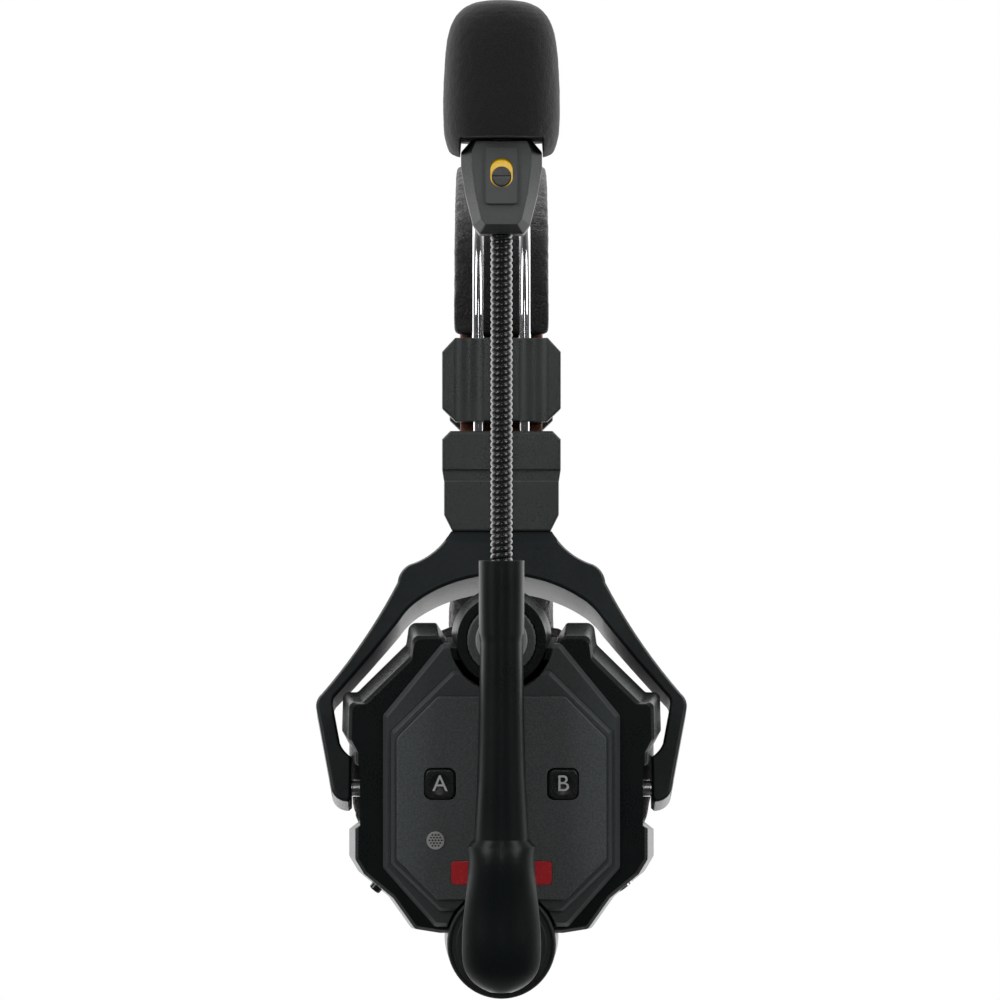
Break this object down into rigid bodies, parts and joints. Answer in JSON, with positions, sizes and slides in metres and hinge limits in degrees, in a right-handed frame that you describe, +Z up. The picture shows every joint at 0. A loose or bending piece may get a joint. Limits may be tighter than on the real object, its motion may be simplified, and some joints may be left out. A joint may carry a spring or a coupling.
{
  "type": "wireless intercom headset with boom microphone",
  "caption": "Wireless intercom headset with one ear cup, a temple pad, an adjustable sprung headband and a swinging boom microphone with foam windscreen.",
  "frame": {"origin": "where the headband's lining rests on the crown of the head", "axes": "+Z up; Y from ear to ear with the ear cup at -Y and the temple pad at +Y; X across the ear cup"},
  "size_m": [0.0756, 0.2041, 0.1993],
  "materials": {
    "chrome_rod": "polished",
    "band_leather": "soft grained leather",
    "lining_leather": "brown smooth leather",
    "block_paint": "satin dark paint",
    "block_inner_paint": "satin dark paint",
    "screw_steel": "blackened",
    "yoke_paint": "fine satin paint",
    "pin_steel": "turned",
    "bush_plastic": "natural",
    "shell_plastic": "satin greenish black paint",
    "rear_plastic": "moulded",
    "bezel_plastic": "fine grain",
    "panel_plastic": "coarse spark grain",
    "label_red": "gloss, left blank",
    "component": "moulded",
    "mesh_metal": "punched",
    "board_green": "solder mask",
    "battery_wrap": "shrink wrap",
    "port_steel": "stamped",
    "magnet_steel": "plated",
    "frame_plastic": "moulded",
    "diaphragm_film": "film",
    "baffle_plastic": "moulded",
    "ear_fabric": "knitted",
    "ear_leather": "soft wrinkled leather",
    "ring_plastic": "fine grain",
    "button_plastic": "smooth",
    "power_plastic": "gloss",
    "dial_plastic": "knurled",
    "dial_cap": "satin",
    "boom_plastic": "satin",
    "neck_rubber": "glossy ribbed",
    "head_plastic": "satin",
    "window_yellow": "bright",
    "capsule_metal": "satin",
    "foam": "open-cell foam",
    "switch_plastic": "smooth",
    "pad_leather": "soft leather"
  },
  "bodies": {
    "headband": {"headband_rods": "chrome_rod", "headband_cushion": "band_leather", "headband_lining": "lining_leather", "cup_side_clamp_outer": "block_paint", "cup_side_clamp_inner": "block_inner_paint", "pad_side_clamp_outer": "block_paint", "pad_side_clamp_inner": "block_inner_paint", "clamp_screws": "screw_steel"},
    "cup_slider": {"cup_side_extension_rods": "chrome_rod", "cup_side_hanger_outer": "block_paint", "cup_side_hanger_inner": "block_inner_paint", "cup_side_hanger_screws": "screw_steel", "yoke": "yoke_paint", "pivot_pins": "pin_steel"},
    "ear_cup": {"pivot_bushes": "bush_plastic", "cup_front_shell": "shell_plastic", "cup_rear_shell": "rear_plastic", "cup_bezel_outer": "bezel_plastic", "cup_bezel_inner": "bezel_plastic", "face_panel": "panel_plastic", "label_plate": "label_red", "board_parts": "component", "ambient_mesh": "mesh_metal", "main_board": "board_green", "battery_cell": "battery_wrap", "usb_port": "port_steel", "driver_magnet": "magnet_steel", "driver_frame": "frame_plastic", "driver_diaphragm": "diaphragm_film", "baffle_plate": "baffle_plastic", "ear_cloth": "ear_fabric", "ear_cushion": "ear_leather", "case_screws": "screw_steel", "boom_pivot_ring": "ring_plastic"},
    "button_a": {"button_a": "button_plastic"},
    "button_b": {"button_b": "button_plastic"},
    "call_button": {"call_button": "button_plastic"},
    "power_button": {"power_button": "power_plastic"},
    "volume_dial": {"volume_dial": "dial_plastic", "volume_dial_cap": "dial_cap"},
    "boom": {"boom_pivot_shaft": "pin_steel", "wave_washer": "pin_steel", "retaining_clip": "screw_steel", "boom_arm_outer": "boom_plastic", "boom_arm_inner": "boom_plastic", "gooseneck": "neck_rubber", "mic_head_front": "head_plastic", "mic_head_rear": "head_plastic", "switch_window": "window_yellow", "mic_capsule": "capsule_metal", "foam_windscreen": "foam"},
    "noise_switch": {"noise_switch": "switch_plastic"},
    "pad_slider": {"pad_side_extension_rods": "chrome_rod", "pad_side_hanger_outer": "block_paint", "pad_side_hanger_inner": "block_inner_paint", "pad_side_hanger_screws": "screw_steel", "pad_arm": "yoke_paint"},
    "temple_pad": {"pad_plate": "frame_plastic", "pad_hinge_pin": "pin_steel", "temple_pad": "pad_leather"}
  },
  "joints": [
    {"name": "cup_side_extension", "type": "slide", "parent": "headband", "child": "cup_slider", "axis": [0, 0, -1], "range_m": [0, 0.02]},
    {"name": "pad_side_extension", "type": "slide", "parent": "headband", "child": "pad_slider", "axis": [0, 0, -1], "range_m": [0, 0.02]},
    {"name": "cup_tilt", "type": "hinge", "parent": "cup_slider", "child": "ear_cup", "pos_m": [0, -0.089, -0.1265], "axis": [1, 0, 0], "range_deg": [-9, 9]},
    {"name": "temple_pad_tilt", "type": "hinge", "parent": "pad_slider", "child": "temple_pad", "pos_m": [0, 0.07383, -0.10252], "axis": [1, 0, 0], "range_deg": [-9, 9]},
    {"name": "boom_swing", "type": "hinge", "parent": "ear_cup", "child": "boom", "pos_m": [0, -0.102, -0.1569], "axis": [0, 1, 0], "range_deg": [-140, 140]},
    {"name": "volume_turn", "type": "hinge", "parent": "ear_cup", "child": "volume_dial", "pos_m": [0, -0.102, -0.096], "axis": [0, 1, 0], "range_deg": [-135, 135]},
    {"name": "button_a_press", "type": "slide", "parent": "ear_cup", "child": "button_a", "axis": [0, 1, 0], "range_m": [0, 0.0008], "stiffness_N_per_m": 900},
    {"name": "button_b_press", "type": "slide", "parent": "ear_cup", "child": "button_b", "axis": [0, 1, 0], "range_m": [0, 0.0008], "stiffness_N_per_m": 900},
    {"name": "call_button_press", "type": "slide", "parent": "ear_cup", "child": "call_button", "axis": [0, 1, 0], "range_m": [0, 0.0008], "stiffness_N_per_m": 900},
    {"name": "power_button_press", "type": "slide", "parent": "ear_cup", "child": "power_button", "axis": [0.6374, 0, 0.7705], "range_m": [0, 0.0008], "stiffness_N_per_m": 900},
    {"name": "noise_switch_slide", "type": "slide", "parent": "boom", "child": "noise_switch", "axis": [0, 0, 1], "range_m": [0, 0.0015]}
  ]
}
